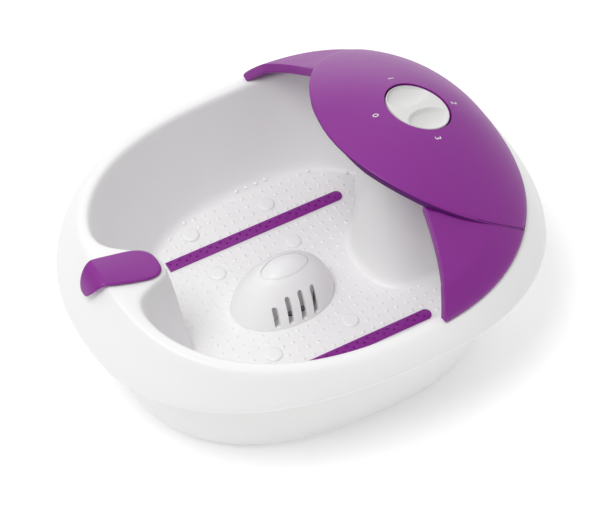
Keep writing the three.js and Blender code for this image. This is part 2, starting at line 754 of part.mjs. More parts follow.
// ---- vibration drive and electrics ----
function vibrationParts() {
  const across = (solid) => solid.rotate([0, 90, 0]).translate(VIBRATION.toArray());
  const motor = across(rod(9, -22, 18, 18));
  const half = rod(7.5, 21, 27, 14).subtract(block(20, 20, 20, 9.5, 0, 24));
  const weight = across(half.add(rod(1.6, 18 + GAP, 27, 10)));
  const strap = new THREE.Shape();
  strap.absarc(0, 0, 11.4, 0, Math.PI);
  strap.lineTo(-11.4, BASE_INNER_Z + GAP - VIBRATION.z);
  strap.lineTo(-9.4, BASE_INNER_Z + GAP - VIBRATION.z);
  strap.lineTo(-9.4, 0);
  strap.absarc(0, 0, 9.4, Math.PI, 0, true);
  strap.lineTo(9.4, BASE_INNER_Z + GAP - VIBRATION.z);
  strap.lineTo(11.4, BASE_INNER_Z + GAP - VIBRATION.z);
  const extruded = new THREE.ExtrudeGeometry(strap, { depth: 12, bevelEnabled: false, curveSegments: 10 });
  extruded.rotateX(Math.PI / 2).rotateZ(Math.PI / 2).translate(-8, VIBRATION.y, VIBRATION.z);
  return [
    meshOf("vibration_motor", motor, STEEL),
    meshOf("eccentric_weight", weight, STEEL),
    meshOf("motor_clamp", solidFrom(extruded), STEEL),
  ];
}

function electrics() {
  const board = block(70, 34, 1.6, 0, 62, 9);
  const terminals = block(26, 10, 9, -14, 62, 9.8 + GAP + 4.5);
  return [meshOf("circuit_board", board, BOARD), meshOf("terminal_block", terminals, GREY)];
}

const basin = new THREE.Group();
basin.add(
  tub(),
  baseShell(),
  ...rubberFeet(),
  ...baseScrews(),
  cordGland(),
  coverPanel(),
  coverFrame(),
  controlKnob(),
  switchShaft(),
  rotarySwitch(),
  ...bubbleStrips(),
  ...magnetCaps(),
  massageHump(),
  lampWindow(),
  spoutPad(),
  lampHousing(),
  lampGasket(),
  infraredLamp(),
  lampSocket(),
  heaterPlate(),
  thermostat(),
  ...blowerParts(),
  ...airLines(),
  ...vibrationParts(),
  ...electrics(),
);

export default basin;
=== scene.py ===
"""A foot spa basin in a plain studio: smooth mouldings in place of the frame's, and its works as they are.

Shapes are worked out in millimetres in the frame's axes and turned into metres when a mesh is made.
X runs left to right, Y from the heel end to the toe end, Z up.
"""

import json
import math

import bmesh
import bpy
import numpy as np
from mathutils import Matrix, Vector


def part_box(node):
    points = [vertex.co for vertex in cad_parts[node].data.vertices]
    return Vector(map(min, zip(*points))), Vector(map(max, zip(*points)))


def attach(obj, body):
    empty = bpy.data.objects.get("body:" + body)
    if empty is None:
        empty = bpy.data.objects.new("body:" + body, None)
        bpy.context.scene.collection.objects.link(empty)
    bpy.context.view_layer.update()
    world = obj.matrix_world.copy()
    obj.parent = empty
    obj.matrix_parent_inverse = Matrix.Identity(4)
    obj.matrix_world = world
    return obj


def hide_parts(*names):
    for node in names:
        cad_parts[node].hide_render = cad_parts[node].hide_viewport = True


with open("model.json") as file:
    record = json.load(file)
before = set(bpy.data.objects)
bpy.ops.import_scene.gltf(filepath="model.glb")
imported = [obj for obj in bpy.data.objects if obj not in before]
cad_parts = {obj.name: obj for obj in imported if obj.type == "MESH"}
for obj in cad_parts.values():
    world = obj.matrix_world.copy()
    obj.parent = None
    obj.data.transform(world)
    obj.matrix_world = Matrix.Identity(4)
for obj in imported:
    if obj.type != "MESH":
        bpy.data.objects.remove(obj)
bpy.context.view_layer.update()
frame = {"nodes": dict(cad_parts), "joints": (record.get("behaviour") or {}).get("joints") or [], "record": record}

MM = 0.001


def box_mm(node):
    """A frame node's lowest and highest corner."""
    low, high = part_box(node)
    return np.array(low) / MM, np.array(high) / MM


# ---- driving sizes, from the frame where it states them ----
TUB_LOW, TUB_HIGH = box_mm("tub")
CENTRE_Y = 19.0  # middle of the basin's rings
CURVE = 2.4  # exponent of the rings' superellipse
FLOOR_Z = 32.7
FLOOR_UNDER_Z = 29.7
FLOOR_HALF, FLOOR_HEEL, FLOOR_TOE, FLOOR_TONGUE = 114, 137, 103, 17  # the flat floor's outline
TONGUE_HALF = 22.5
PITCH = 9.35  # between floor nodules
COLUMN_Y = 100.0

BAND_HALF = TUB_HIGH[0]  # the flared outer band, at its widest
BAND_HEEL = CENTRE_Y - TUB_LOW[1]
BAND_TOE = TUB_HIGH[1] - CENTRE_Y
BAND_CURVE = 2.28
RIM_HALF = 154.0  # the rim's crest, where it turns down into the band
RIM_HEEL = 198.0
RIM_TOE = 158.0

COVER_HALF = 155.2
COVER_TOE = 158.5
COVER_EDGE = 3.8  # the cover's edge stands this far over the rim
COVER_TOP_Z = box_mm("cover_panel")[1][2]
COVER_MIDDLE_Y = 126.0
PANEL_RADIUS = 112.0
PANEL_CENTRE_Y = 136.5
PANEL_WALL = 2.4
WING_LIP = 8.0
WING_TIP_X = 154.3
CROSS_PIECE_DROP = PANEL_WALL + 1.5

DIAL = next(j for j in frame["joints"] if j["name"] == "dial_turn")
DIAL_POINT = np.array(DIAL["pos_m"]) / MM
DIAL_TILT = math.atan2(DIAL["axis"][1], DIAL["axis"][2])
DIAL_RADIUS = 27.0
DIAL_HOLE = 28.5
DIGIT_HEIGHT = 7.5
DIGIT_RAISED = 0.12

HUMP_TOE = 42.0  # from the hump's centre to its toe end
HUMP_CURVE = 2.1
HUMP_FOOT_Z = FLOOR_Z + 0.3
HUMP_WALL = 2.4
HUMP_ROWS = np.array([  # half width, reach to the heel, reach to the toe, height
    (31.8, 49.6, 42, 0), (31.7, 48.8, 41.8, 3), (31.2, 47.6, 41.2, 7), (29.3, 43.6, 39, 15),
    (25.9, 38, 35, 23.5), (21, 31.5, 29.5, 31), (15.6, 24.5, 22.5, 37), (10, 17, 15.5, 41),
    (4.8, 9, 7.6, 43.2), (0, 0, 0, 43.8),
])
SLOT_FIRST_Y = -23.0  # from the hump's centre
SLOT_PITCH = 11.8
SLOT_TOPS = (22.8, 29.2, 30.8, 29.8)
LENS_HALF = 11.5
LENS_LENGTH = 21.3

SPOUT_FOLD_Y = -179.5
AIR_HOLES = 34  # in each strip


# ---- meshes ----
def mesh_object(name, points, faces, sharp=38):
    """A smooth-shaded mesh from points in mm, with edges over `sharp` degrees kept crisp."""
    mesh = bpy.data.meshes.new(name)
    mesh.from_pydata((np.asarray(points) * MM).tolist(), [], faces)
    work = bmesh.new()
    work.from_mesh(mesh)
    bmesh.ops.remove_doubles(work, verts=work.verts, dist=2e-6)
    bmesh.ops.dissolve_degenerate(work, edges=work.edges, dist=1e-7)
    bmesh.ops.recalc_face_normals(work, faces=work.faces)
    work.to_mesh(mesh)
    work.free()
    mesh.shade_smooth()
    mesh.set_sharp_from_angle(angle=math.radians(sharp))
    thing = bpy.data.objects.new(name, mesh)
    bpy.context.collection.objects.link(thing)
    return thing


def grid_faces(rows, columns, close_rows=False):
    """Quads over a grid that is closed along its columns, and along its rows if asked."""
    faces = []
    for j in range(rows if close_rows else rows - 1):
        k = (j + 1) % rows
        for i in range(columns):
            n = (i + 1) % columns
            faces.append((j * columns + i, j * columns + n, k * columns + n, k * columns + i))
    return faces


def merged(parts):
    """Several (points, faces) as one."""
    points, faces, count = [], [], 0
    for some_points, some_faces in parts:
        points.append(np.asarray(some_points).reshape(-1, 3))
        faces += [tuple(i + count for i in face) for face in some_faces]
        count += len(points[-1])
    return np.concatenate(points), faces


def smooth_rows(grid, step=3.5, most=14):
    """More rows between the given ones, along curves that never overshoot them."""
    chords = np.linalg.norm(np.diff(grid, axis=0), axis=2).mean(axis=1)
    chords = np.maximum(chords, 1e-6)[:, None, None]
    slope = np.diff(grid, axis=0) / chords
    tangent = np.zeros_like(grid)
    tangent[0], tangent[-1] = slope[0], slope[-1]
    a, b = slope[:-1], slope[1:]
    same = a * b > 0
    safe = np.where(same, a + b, 1.0)
    tangent[1:-1] = np.where(same, 2 * a * b / safe, 0.0)
    rows = []
    for j in range(len(grid) - 1):
        length = float(chords[j, 0, 0])
        count = int(min(most, max(1, math.ceil(length / step))))
        for k in range(count):
            t = k / count
            rows.append((1 + 2 * t) * (1 - t) ** 2 * grid[j] + t * (1 - t) ** 2 * length * tangent[j]
                        + t * t * (3 - 2 * t) * grid[j + 1] + t * t * (t - 1) * length * tangent[j + 1])
    rows.append(grid[-1])
    return np.array(rows)


def ring(half, heel, toe, z, centre=CENTRE_Y, curve=CURVE, tongue=0.0, count=256):
    """A superellipse in plan at height z, a number or a function; the tongue pushes its heel end inward."""
    angle = np.linspace(0, 2 * np.pi, count, endpoint=False)
    c, s = np.cos(angle), np.sin(angle)
    x = half * np.sign(c) * np.abs(c) ** (2 / curve)
    reach = np.where(s < 0, heel, toe)
    y = centre + reach * np.sign(s) * np.abs(s) ** (2 / curve)
    y = y + np.where(s < 0, tongue / (1 + (x / TONGUE_HALF) ** 4), 0.0)
    height = z(x, y) if callable(z) else np.full(count, float(z))
    return np.stack([x, y, height], axis=1)


def loft(rings):
    grid = smooth_rows(np.array(rings))
    return grid.reshape(-1, 3), grid_faces(len(grid), grid.shape[1])


def prism(first, last):
    """A solid between two outlines with as many points."""
    count = len(first)
    faces = [tuple(range(count)), tuple(range(count, 2 * count))]
    faces += [(i, (i + 1) % count, count + (i + 1) % count, count + i) for i in range(count)]
    return [*first, *last], faces


def turned(outline, count=96):
    """A solid of revolution about Z through (radius, height) pairs."""
    grid = np.array([ring(r, r, r, z, centre=0.0, curve=2.0, count=count) for r, z in outline])
    return grid.reshape(-1, 3), grid_faces(len(grid), count)


def cut(thing, cutter):
    """Takes cutter out of thing for good."""
    modifier = thing.modifiers.new("cut", "BOOLEAN")
    modifier.operation = "DIFFERENCE"
    modifier.solver = "EXACT"
    modifier.object = cutter
    bpy.context.view_layer.update()
    whole = thing.evaluated_get(bpy.context.evaluated_depsgraph_get())
    mesh = bpy.data.meshes.new_from_object(whole)
    thing.modifiers.clear()
    thing.data = mesh
    bpy.data.objects.remove(cutter)
    mesh.shade_smooth()
    mesh.set_sharp_from_angle(angle=math.radians(38))


def along_dial(points):
    """Local dial points, in mm with the dial's top at 0, to the frame's axes."""
    c, s = math.cos(DIAL_TILT), math.sin(DIAL_TILT)
    x, y, z = np.asarray(points).T
    return np.stack([x, y * c + z * s, -y * s + z * c], axis=1) + DIAL_POINT


# ---- surfaces ----
def rim_z(x, y):
    """The rim's crest, which rises at both ends and more along the spout."""
    lift = np.maximum(0, 3.7 + 0.18 * (-128 - y))
    return 132.3 + 0.00045 * (y - 14) ** 2 + lift * np.exp(-((x / 51) ** 2))


def band_z(x, y):
    """The lower edge of the outer band, which falls toward both ends."""
    return 115.6 - 0.00044 * y ** 2


def under_rim(drop):
    return lambda x, y: rim_z(x, y) - drop


def between(low, high, share):
    return lambda x, y: low(x, y) + (high(x, y) - low(x, y)) * share


def cover_share(x, y):
    """0 in the cover's middle and 1 on its outer edge."""
    across = (np.abs(x) / COVER_HALF) ** CURVE
    return (across + (np.abs(y - CENTRE_Y) / COVER_TOE) ** CURVE) ** (1 / CURVE)


def panel_z(x, y):
    share = np.minimum(1, cover_share(x, y))
    middle = np.exp(-((x / 56) ** 2))
    fall = np.maximum(0, 1 - share ** (2.6 + 0.4 * middle)) ** (0.9 - 0.15 * middle)
    edge = rim_z(x, y) + COVER_EDGE
    return edge + (COVER_TOP_Z - edge) * fall


def wing_z(x, y):
    """The wings' upper surface, steep at the rim and shouldered up to the panel along the seam."""
    share = np.minimum(1, cover_share(x, y))
    edge = rim_z(x, y) + COVER_EDGE
    off_seam = np.maximum(0, np.hypot(x, y - PANEL_CENTRE_Y) - PANEL_RADIUS)
    shoulder = 6.5 * np.exp(-off_seam / 25) * np.minimum(1, 3 * (1 - share))
    rise = (COVER_TOP_Z - edge) * 0.98 * (1 - share) ** 0.58 + shoulder
    return np.minimum(edge + rise, panel_z(x, y) - 1)


def panel_lip(x, y):
    """How deep the panel's edge hangs."""
    most = 7.6 + 2.6 * np.exp(-(((np.abs(x) - 97) / 11) ** 2))
    hang = np.clip(panel_z(x, y) - wing_z(x, y) + 1, PANEL_WALL, most)
    return np.where(cover_share(x, y) > 0.985, COVER_EDGE - 0.5, hang)


def column_top(x, y):
    """The column's slanted top, square to the dial up to a level part."""
    return np.minimum(198.0, 184 + math.tan(DIAL_TILT) * (108 - y))


# ---- tub ----
def band_ring(inset, drop):
    """A ring inside the band's outline and below its edge."""
    return ring(BAND_HALF - inset, BAND_HEEL - inset, BAND_TOE - inset,
                lambda x, y: band_z(x, y) - drop, curve=BAND_CURVE)


def tub_rings():
    """Rings from the floor's middle up the wall, over the rim, round the band and back underneath."""
    outward = []
    for t in (0.12, 0.24, 0.36, 0.48, 0.6, 0.72, 0.84, 0.93):
        out = math.sin(t * math.pi / 2) ** 1.15
        up = 0.45 * math.cos(t * math.pi / 2) ** 1.15 + 0.55 * (1 - out)
        outward.append(ring(RIM_HALF + (BAND_HALF - RIM_HALF) * out, RIM_HEEL + (BAND_HEEL - RIM_HEEL) * out,
                            RIM_TOE + (BAND_TOE - RIM_TOE) * out, between(band_z, under_rim(0.6), up),
                            curve=CURVE + (BAND_CURVE - CURVE) * out))
    turn = [(20 * (1 - math.cos(t * math.pi / 2)), 15 * math.sin(t * math.pi / 2))
            for t in (0.0, 0.2, 0.4, 0.6, 0.75, 0.88, 1.0)]
    return [
        ring(0, 0, 0, FLOOR_Z),
        ring(FLOOR_HALF, FLOOR_HEEL, FLOOR_TOE, FLOOR_Z, tongue=FLOOR_TONGUE),
        ring(118.5, 141.5, 107.8, FLOOR_Z + 0.5, tongue=18.5),
        ring(122, 145, 111.5, FLOOR_Z + 2.6, tongue=19.7),
        ring(124.2, 147.6, 114.2, FLOOR_Z + 6, tongue=21),
        ring(125.8, 149.5, 116.5, FLOOR_Z + 11, tongue=22),
        ring(136, 170, 133, 90, tongue=36),
        ring(142.6, 185.6, 146, under_rim(10), tongue=44),
        ring(143.9, 188.4, 147.5, under_rim(3.4), tongue=45),
        ring(144.9, 189.7, 148.5, under_rim(1.1), tongue=44.5),
        ring(146.7, 191.4, 150.2, under_rim(0.1), tongue=42.5),
        ring(150.4, 195, 154, under_rim(0), tongue=20),
        ring(153, 197.2, 157, under_rim(0.35), tongue=0),
        *outward,
        *[band_ring(inset, drop) for inset, drop in turn],
        band_ring(21.2, 15.2),
        band_ring(22.4, 14.2),
        band_ring(9, 8),
        band_ring(3, 0),
        ring(158, 207, 169, between(band_z, under_rim(5), 0.6)),
        ring(151.5, 196, 155, under_rim(5)),
        ring(146.9, 190.2, 150.4, under_rim(6), tongue=44),
        ring(138.6, 172.6, 135.6, 90, tongue=36),
        ring(128.6, 152.3, 119.3, FLOOR_Z + 9, tongue=22),
        ring(124.6, 148, 114.4, FLOOR_UNDER_Z + 2, tongue=20),
        ring(118, 141, 107, FLOOR_UNDER_Z, tongue=18),
        ring(0, 0, 0, FLOOR_UNDER_Z),
    ]


def column():
    """The hollow column's outside, from its flared foot to its slanted top."""
    rows = [  # half width, reach to the heel, reach to the toe, height
        (47.5, 48.5, 36, FLOOR_Z - 0.6),
        (45.8, 46.8, 35, FLOOR_Z + 0.1),
        (43.2, 44.4, 35, FLOOR_Z + 1.4),
        (41.2, 42.6, 37, FLOOR_Z + 4.4),
        (40.2, 41.7, 40, FLOOR_Z + 9),
        (39.5, 41.2, 43, FLOOR_Z + 16),
        (38.5, 40.5, 60, 110),
        (37.5, 39.5, 67, 140),
        (37, 39, 57, 158),
        (36, 38, 53, lambda x, y: column_top(x, y) - 3),
        (35, 37, 52, lambda x, y: column_top(x, y) - 0.8),
        (33, 35, 50, column_top),
        (0, 0, 0, 184 + math.tan(DIAL_TILT) * (108 - COLUMN_Y)),
    ]
    return loft([ring(*row, centre=COLUMN_Y, count=192) for row in rows])


def floor_height(x, y):
    """The floor's height, up to where its corner turns into the wall, and nothing beyond."""
    heel = FLOOR_HEEL - FLOOR_TONGUE / (1 + (x / TONGUE_HALF) ** 4)
    reach = heel if y < CENTRE_Y else FLOOR_TOE
    share = ((abs(x) / FLOOR_HALF) ** CURVE + (abs(y - CENTRE_Y) / reach) ** CURVE) ** (1 / CURVE)
    out = FLOOR_HALF * share
    if out >= 121:
        return None
    return float(np.interp(out, (FLOOR_HALF, 118.5, 122), (FLOOR_Z, FLOOR_Z + 0.5, FLOOR_Z + 2.6)))


def clear_of_fittings(x, y):
    """Where nothing else stands on the floor."""
    foot_of_column = (abs(x) / 46) ** CURVE + (abs(y - COLUMN_Y) / 49) ** CURVE < 1
    hump_low, hump_high = box_mm("massage_hump")
    middle, half = (hump_low + hump_high) / 2, (hump_high - hump_low) / 2 + 2
    on_hump = ((x - middle[0]) / half[0]) ** 2 + ((y - middle[1]) / half[1]) ** 2 < 1
    strip_low, strip_high = box_mm("bubble_strip_right")
    on_strip = strip_low[0] - 2 < abs(x) < strip_high[0] + 2 and strip_low[1] - 2 < y < strip_high[1] + 2
    return not (foot_of_column or on_hump or on_strip or near_cap(x, y))


def near_cap(x, y):
    for node in CAPS:
        low, high = box_mm(node)
        if math.hypot(x - (low[0] + high[0]) / 2, y - (low[1] + high[1]) / 2) < 9.2:
            return True
    return False


def nodules():
    """Small round bumps over the bare floor, in a square grid with a wider gap along the middle."""
    dome = [(1.9, -0.3), (1.8, 0.12), (1.5, 0.42), (1.0, 0.68), (0.5, 0.8), (0.0, 0.84)]
    shape, faces = turned(dome, count=12)
    parts = []
    for k in range(13):
        for j in range(-15, 13):
            x, y = PITCH * (k + 0.89), PITCH * (j + 0.5)
            height = floor_height(x, y)
            if height is not None and clear_of_fittings(x, y):
                for side in (1, -1):
                    parts.append((shape + [side * x, y, height], faces))
    return merged(parts)


# ---- lower casing ----
def base_rings():
    """Rings from the middle of the underside, up the outside and down the inside."""
    def top(inset, drop):
        return ring(144.8 - inset, 196.8 - inset, 158.8 - inset, lambda x, y: band_z(x, y) - 12 - drop,
                    curve=BAND_CURVE)

    return [
        ring(0, 0, 0, 2.8),
        ring(116, 172, 116.5, 2.8),
        ring(119.5, 175.4, 120, 3.1),
        ring(123.5, 179, 124, 4.6),
        ring(126.2, 181.6, 126.7, 7.4),
        ring(128, 183.8, 128.5, 11.5),
        top(0, 0),
        top(0.8, -0.4),
        top(2.2, 0),
        ring(125.7, 181.5, 126.2, 11.6),
        ring(121.5, 177, 122, 6.8),
        ring(115, 171, 115.5, 5.3),
        ring(0, 0, 0, 5.3),
    ]


# ---- splash cover ----
def inside_panel(x, y, grow=0.0):
    """Whether a plan point lies on the round panel."""
    return (np.hypot(x, y - PANEL_CENTRE_Y) < PANEL_RADIUS + grow) & (cover_share(x, y) < 1)


def reach(angles, inside):
    """How far a plan shape reaches from the cover's middle at each angle."""
    low, high = np.zeros_like(angles), np.full_like(angles, 400.0)
    for _ in range(34):
        middle = (low + high) / 2
        hit = inside(middle * np.cos(angles), COVER_MIDDLE_Y + middle * np.sin(angles))
        low, high = np.where(hit, middle, low), np.where(hit, high, middle)
    return low


def polar_rows(angles, rows):
    """Rows of (radii, height function) round the cover's middle."""
    grid = []
    for radii, height in rows:
        x, y = radii * np.cos(angles), COVER_MIDDLE_Y + radii * np.sin(angles)
        grid.append(np.stack([x, y, height(x, y)], axis=1))
    return np.array(grid)


def panel_angles(count=512):
    """Even angles and the two at which the panel's circle meets the cover's edge."""
    corner = math.atan2(142.1 - COVER_MIDDLE_Y, 111.7)
    even = np.linspace(-math.pi / 2, 3 * math.pi / 2, count, endpoint=False)
    return np.sort(np.concatenate([even, [corner, math.pi - corner]]))


def panel_shell():
    """A domed cap whose edge turns down into a hanging hem, tucked a little inward."""
    angles = panel_angles()
    edge = reach(angles, inside_panel)
    edge_x, edge_y = edge * np.cos(angles), COVER_MIDDLE_Y + edge * np.sin(angles)
    edge_z, hang = panel_z(edge_x, edge_y), panel_lip(edge_x, edge_y)
    tuck = 0.12 * (hang - PANEL_WALL)
    top = [((edge - 1.0) * share, panel_z) for share in np.linspace(0, 1, 34) ** 0.8]
    turn = [(0.6, 0.1), (0.28, 0.3), (0.08, 0.62), (0.0, 1.0)]
    rounded = [(edge - inset, lambda x, y, d=drop: edge_z - d) for inset, drop in turn]
    hem = [(0.0, 0.8), (0.15, 0.35), (0.5, 0.1), (1.0, 0.0), (1.6, 0.1), (2.0, 0.4), (2.2, 0.8)]
    hung = [(edge - tuck - inset, lambda x, y, r=rise: edge_z - hang + r) for inset, rise in hem]
    under = [((edge - tuck - 2.4) * share, lambda x, y: panel_z(x, y) - PANEL_WALL + 0.1)
             for share in np.linspace(1, 0, 20)]
    grid = polar_rows(angles, [*top, *rounded, *hung, *under])
    return grid.reshape(-1, 3), grid_faces(len(grid), len(angles))


def paint_shade_on_hem(panel):
    """Paints shade on the panel's turned-down edge: a darker purple stands for the shade that falls on it, clear
    of the rim.
    """
    panel.data.materials.append(PAINTED_SHADE_PURPLE)
    for face in panel.data.polygons:
        x, y, _ = face.center / MM
        # upright faces along the panel's circle take the painted shade
        upright = abs(face.normal.z) < 0.5
        free = abs(math.hypot(x, y - PANEL_CENTRE_Y) - PANEL_RADIUS) < 4
        face.material_index = int(upright and free)


def dial_cutter(radius):
    """A round bar along the dial's axis."""
    points, faces = turned([(0, -30), (radius, -30), (radius, 30), (0, 30)])
    return mesh_object("cutter", along_dial(points), faces)


def dial_collar():
    """The wall that drops from the panel's hole round the dial."""
    inner, outer, depth, count = DIAL_HOLE - 0.1, DIAL_HOLE + 1.7, -8.0, 128
    angle = np.linspace(0, 2 * np.pi, count, endpoint=False)
    rows = []
    for radius, height in ((inner, None), (inner, depth), (outer, depth), (outer, None)):
        flat = np.stack([radius * np.cos(angle), radius * np.sin(angle), np.zeros(count)], axis=1)
        flat[:, 2] = below_panel(flat) if height is None else height
        rows.append(along_dial(flat))
    grid = np.array(rows)
    return grid.reshape(-1, 3), grid_faces(len(grid), count, close_rows=True)


def below_panel(flat):
    """The heights along the dial's axis that lie just under the panel's top surface."""
    low, high = np.full(len(flat), -12.0), np.full(len(flat), 16.0)
    for _ in range(24):
        middle = (low + high) / 2
        spot = along_dial(flat + middle[:, None] * [0, 0, 1])
        below = spot[:, 2] < panel_z(spot[:, 0], spot[:, 1]) - 0.35
        low, high = np.where(below, middle, low), np.where(below, high, middle)
    return low


def cross_piece():
    """The part of the wing frame that runs across under the panel."""
    angles = panel_angles(192)
    edge = reach(angles, lambda x, y: inside_panel(x, y, -5.5) & (cover_share(x, y) < 0.92))
    top = [(edge * share, lambda x, y: panel_z(x, y) - CROSS_PIECE_DROP) for share in np.linspace(0, 1, 14)]
    low = [(edge * share, lambda x, y: panel_z(x, y) - CROSS_PIECE_DROP - 2.2)
           for share in np.linspace(1, 0, 14)]
    grid = polar_rows(angles, [*top, *low])
    return grid.reshape(-1, 3), grid_faces(len(grid), len(angles))


def wing_front(x, side):
    """The front edge in plan, which sweeps toward the heel at the rim, further on the left."""
    span, most, power = (66.5, 23.5, 3.5) if side > 0 else (68, 36, 3.2)
    return span - most * (np.abs(x) / WING_TIP_X) ** power


def outer_point(t):
    """A plan point on the cover's outer edge."""
    return COVER_HALF * math.cos(t) ** (2 / CURVE), CENTRE_Y + COVER_TOE * math.sin(t) ** (2 / CURVE)


def seam_point(angle, inset=0.0):
    """A plan point on the panel's circle, or inside it."""
    radius = PANEL_RADIUS - inset
    return radius * math.cos(angle), PANEL_CENTRE_Y + radius * math.sin(angle)


def turning_value(inside, low, high):
    """The value between low and high where inside(value) turns false."""
    for _ in range(40):
        middle = (low + high) / 2
        if inside(middle):
            low = middle
        else:
            high = middle
    return low


def wing_limits(side):
    """Where the wing's front edge and its toe end meet the panel's circle and the cover's outer edge."""
    def ahead(point):
        return point[1] < wing_front(point[0], side)

    tip = turning_value(lambda t: ahead(outer_point(t)), 0.01, 1.2)
    end = turning_value(lambda t: math.hypot(outer_point(t)[0], outer_point(t)[1] - PANEL_CENTRE_Y)
                        > PANEL_RADIUS, 0.3, 1.4)
    first = turning_value(lambda a: ahead(seam_point(a)), -1.2, 0.2)
    last = math.atan2(outer_point(end)[1] - PANEL_CENTRE_Y, outer_point(end)[0])
    return tip, end, first, last


def wing_row(u, side, limits, insets):
    """Plan points across the wing, from under the panel's edge to the outer edge; u is 0 at the front."""
    tip, end, first, last = limits
    angle = first + (last - first) * u
    seam, outer = np.array(seam_point(angle)), np.array(outer_point(tip + (end - tip) * u))
    width = max(float(np.linalg.norm(outer - seam)), 1e-6)
    inset = np.minimum(insets, width * 0.999 * insets / insets.max())
    across = np.concatenate([np.linspace(0, 1 - inset[0] / width, 38)[:-1], 1 - inset / width])[:, None]
    points = seam + (outer - seam) * across
    start, stop = np.array(seam_point(first)), np.array(outer_point(tip))
    straight = np.interp(points[:, 0], (start[0], stop[0]), (start[1], stop[1]))
    bend = wing_front(points[:, 0], side) - (points[:, 1] if u == 0 else straight)
    points[:, 1] += (1 - u) ** 3 * bend
    tucked = [seam_point(angle, inset) for inset in (5.0, 2.5)]
    return np.concatenate([tucked, points])


def wing(side):
    """One wing as a closed shell: top, a front edge turned in square to it, and its underside."""
    insets = np.array([1.2, 0.7, 0.35, 0.1, 0.0])
    drops = np.array([0.0, 0.1, 0.35, 0.7, 1.1])
    limits = wing_limits(side)
    spread = np.linspace(1, 0.02, 44) ** 1.15
    sheet = np.array([wing_row(u, side, limits, insets) for u in spread])
    top = wing_top(sheet)
    top[:, -len(drops):] -= drops
    rim = rim_z(sheet[..., 0], sheet[..., 1]) + 0.5
    on_rim = cover_share(sheet[..., 0], sheet[..., 1]) > 0.91
    low = np.where(on_rim, np.maximum(top - PANEL_WALL, rim), top - PANEL_WALL)
    edge = front_edge(wing_row(0, side, limits, insets), drops)
    grid = np.concatenate([np.dstack([sheet, top]), edge, np.dstack([sheet, low])[::-1]]) * [side, 1, 1]
    return grid.reshape(-1, 3), wing_faces(len(spread), len(edge), grid.shape[1])


def front_edge(front, drops):
    """Rows that turn the wing's front edge in, square to its surface."""
    top = wing_top(front)
    top[-len(drops):] -= drops
    slope = np.gradient(wing_z(front[:, 0], front[:, 1]), front[:, 0])
    slope[:3] = slope[3]
    slope = np.minimum(slope, 0)
    inward, down = -slope / np.hypot(slope, 1), 1 / np.hypot(slope, 1)
    rows = []
    for back, depth in ((1.0, 0.0), (0.6, 0.1), (0.28, 0.3), (0.08, 0.62), (0.0, 1.0),
                        (0.0, WING_LIP - 0.9), (0.15, WING_LIP - 0.35), (0.5, WING_LIP - 0.1),
                        (1.1, WING_LIP), (1.8, WING_LIP - 0.1), (2.2, WING_LIP - 0.6)):
        x, y = front[:, 0] - inward * depth, front[:, 1] + back
        rows.append(np.stack([x, y, np.maximum(top - down * depth, rim_z(x, y) + 0.5)], axis=1))
    return np.array(rows)


def wing_top(plan):
    """The wing's upper surface, which dips under the panel along the seam."""
    x, y = plan[..., 0], plan[..., 1]
    top = wing_z(x, y)
    tucked = panel_z(x, y) - panel_lip(x, y) - 0.7
    top[..., :2] = np.minimum(top[..., :2], tucked[..., :2])
    return top


def wing_faces(count, edges, columns):
    """Quads round the shell's rows, and its two long sides closed from top to underside."""
    total = 2 * count + edges
    faces = []
    for j in range(total):
        k = (j + 1) % total
        faces += [(j * columns + i, j * columns + i + 1, k * columns + i + 1, k * columns + i)
                  for i in range(columns - 1)]
    for end in (0, columns - 1):
        for j in range(count - 1):
            mate = total - 1 - j
            faces.append(tuple(r * columns + end for r in (j, j + 1, mate - 1, mate)))
        faces.append(tuple(r * columns + end for r in range(count - 1, count + edges + 1)))
    return faces


# ---- dial ----
def knob():
    """A disc whose face is hollowed on both sides of a grip."""
    count = 160
    angle = np.linspace(0, 2 * np.pi, count, endpoint=False)
    turn = math.radians(100)

    def face(radius):
        x, y = radius * np.cos(angle), radius * np.sin(angle)
        along = x * math.cos(turn) + y * math.sin(turn)
        across = np.abs(-x * math.sin(turn) + y * math.cos(turn))
        bowl = 1 - (along / 22.5) ** 2 - ((across - 15.5) / 12.6) ** 2
        depth = 5.2 * np.sqrt(np.maximum(bowl, 0)) * np.clip(bowl * 3.2, 0, 1) ** 0.5
        return np.stack([x, y, -depth], axis=1)

    rows = [face(r) for r in np.linspace(0, DIAL_RADIUS - 1.0, 64)]
    rim = [(26.3, -0.08), (26.65, -0.3), (26.9, -0.65), (DIAL_RADIUS, -1.1), (DIAL_RADIUS, -5), (26.4, -7),
           (24, -7), (24, -9), (0, -9)]
    rows += [np.stack([r * np.cos(angle), r * np.sin(angle), np.full(count, z)], axis=1) for r, z in rim]
    grid = np.array(rows)
    return along_dial(grid.reshape(-1, 3)), grid_faces(len(grid), count)


def digit_mark(text, x, y):
    """A raised digit lying on the panel, readable from the heel end."""
    curve = bpy.data.curves.new("digit", "FONT")
    curve.body = text
    curve.size = DIGIT_HEIGHT * MM
    curve.extrude = DIGIT_RAISED * MM
    curve.align_x = "CENTER"
    curve.align_y = "CENTER"
    source = bpy.data.objects.new("digit", curve)
    bpy.context.collection.objects.link(source)
    bpy.context.view_layer.update()
    mesh = bpy.data.meshes.new_from_object(source)
    bpy.data.objects.remove(source)
    for vertex in mesh.vertices:
        px, py = vertex.co.x / MM + x, vertex.co.y / MM + y
        lift = DIGIT_RAISED + vertex.co.z / MM
        vertex.co = Vector((px, py, float(panel_z(px, py)) + lift)) * MM
    thing = bpy.data.objects.new("dial_digit_" + text, mesh)
    bpy.context.collection.objects.link(thing)
    return thing


# ---- floor fittings ----
def hump_rings(inset, centre):
    return [ring(max(0, h - inset), max(0, a - inset), max(0, b - inset), HUMP_FOOT_Z + rise - inset,
                 centre=centre, curve=HUMP_CURVE, count=160) for h, a, b, rise in HUMP_ROWS]


